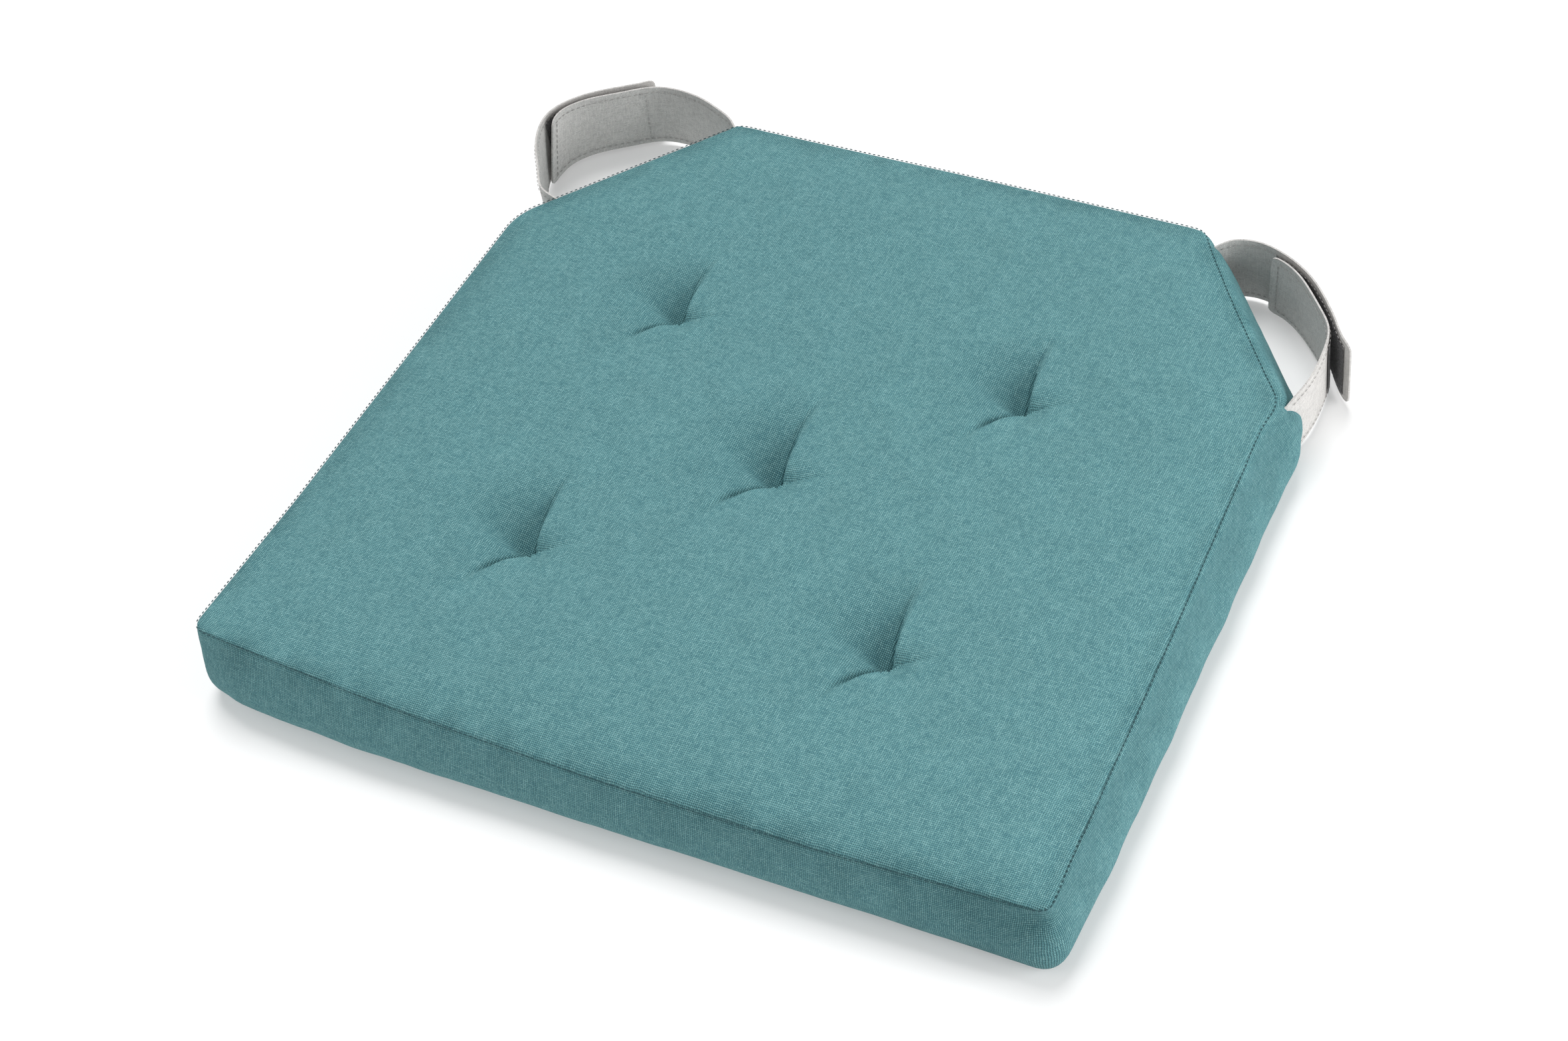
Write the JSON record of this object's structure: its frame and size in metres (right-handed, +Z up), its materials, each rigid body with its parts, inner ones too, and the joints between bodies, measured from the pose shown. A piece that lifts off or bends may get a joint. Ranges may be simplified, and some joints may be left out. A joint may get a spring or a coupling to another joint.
{
  "type": "chair seat pad",
  "caption": "Flat square-edged seat pad with cut-off back corners, tufted top and a hook-and-loop strap loop at each back corner to hold it to a chair's back posts.",
  "frame": {"origin": "on the underside, on the pad's centre line, midway between the front and back edges", "axes": "+Z up out of the sitting face, +Y towards the back edge, where the strap loops are, +X to the right of someone facing the back edge"},
  "size_m": [0.4284, 0.3988, 0.04],
  "materials": {
    "cover_cloth": "matt plain-weave cotton, teal",
    "strap_cloth": "matt plain-weave cotton, light grey",
    "polyurethane_foam": "open-cell foam, cream",
    "hook_tape": "woven nylon hook tape, grey",
    "loop_tape": "napped nylon loop tape, grey",
    "tuft_thread": "twisted polyester thread, dark teal"
  },
  "bodies": {
    "pad": {"foam_core": "polyurethane_foam", "top_panel": "cover_cloth", "bottom_panel": "cover_cloth", "front_side_band": "cover_cloth", "back_band": "cover_cloth", "left_corner_band": "cover_cloth", "right_corner_band": "cover_cloth", "tuft_tie_centre": "tuft_thread", "tuft_tie_front_left": "tuft_thread", "tuft_tie_front_right": "tuft_thread", "tuft_tie_back_left": "tuft_thread", "tuft_tie_back_right": "tuft_thread"},
    "left_outer": {"left_outer_strap": "strap_cloth", "left_hook_tape": "hook_tape"},
    "left_inner": {"left_inner_strap": "strap_cloth", "left_loop_tape": "loop_tape"},
    "right_outer": {"right_outer_strap": "strap_cloth", "right_hook_tape": "hook_tape"},
    "right_inner": {"right_inner_strap": "strap_cloth", "right_loop_tape": "loop_tape"}
  },
  "joints": [
    {"name": "left_outer_swing", "type": "hinge", "parent": "pad", "child": "left_outer", "pos_m": [-0.18305, 0.1133, 0.02], "axis": [0, 0, 1], "range_deg": [0, 60]},
    {"name": "left_inner_swing", "type": "hinge", "parent": "pad", "child": "left_inner", "pos_m": [-0.12442, 0.18932, 0.02], "axis": [0, 0, 1], "range_deg": [0, 25]},
    {"name": "right_outer_swing", "type": "hinge", "parent": "pad", "child": "right_outer", "pos_m": [0.12839, 0.18417, 0.02], "axis": [0, 0, 1], "range_deg": [0, 80]},
    {"name": "right_inner_swing", "type": "hinge", "parent": "pad", "child": "right_inner", "pos_m": [0.19465, 0.09825, 0.02], "axis": [0, 0, 1], "range_deg": [0, 8]}
  ]
}
